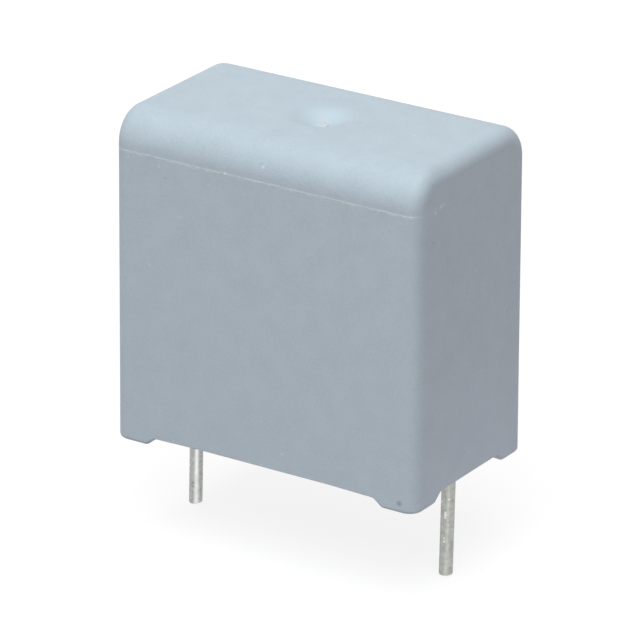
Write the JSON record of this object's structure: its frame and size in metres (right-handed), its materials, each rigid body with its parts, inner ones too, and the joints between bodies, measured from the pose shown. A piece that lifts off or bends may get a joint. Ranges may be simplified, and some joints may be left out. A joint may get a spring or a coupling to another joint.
{
  "type": "box film capacitor",
  "caption": "Film capacitor in a moulded box with corner stand-off feet, resin potted, with two straight wire leads for a through-hole board.",
  "frame": {"origin": "on the board seat, which is the plane of the feet's bottoms, midway between the two leads", "axes": "+Z from the board to the top of the case, +X along the case from the left lead to the right lead, +Y across it to the back"},
  "size_m": [0.0176, 0.0102, 0.0226],
  "materials": {
    "case_plastic": "fine matt moulded surface, grey blue",
    "epoxy_resin": "cast filled epoxy, semi-matt",
    "metallised_film": "edges of tightly wound metallised film",
    "plain_film": "clear wound film",
    "sprayed_zinc": "rough grey sprayed metal",
    "tinned_wire": "dull drawn tin over copper"
  },
  "bodies": {
    "root": {"case": "case_plastic", "potting_resin": "epoxy_resin", "film_winding": "metallised_film", "winding_wrap": "plain_film", "end_spray_left": "sprayed_zinc", "end_spray_right": "sprayed_zinc", "lead_left": "tinned_wire", "lead_right": "tinned_wire"}
  },
  "joints": []
}
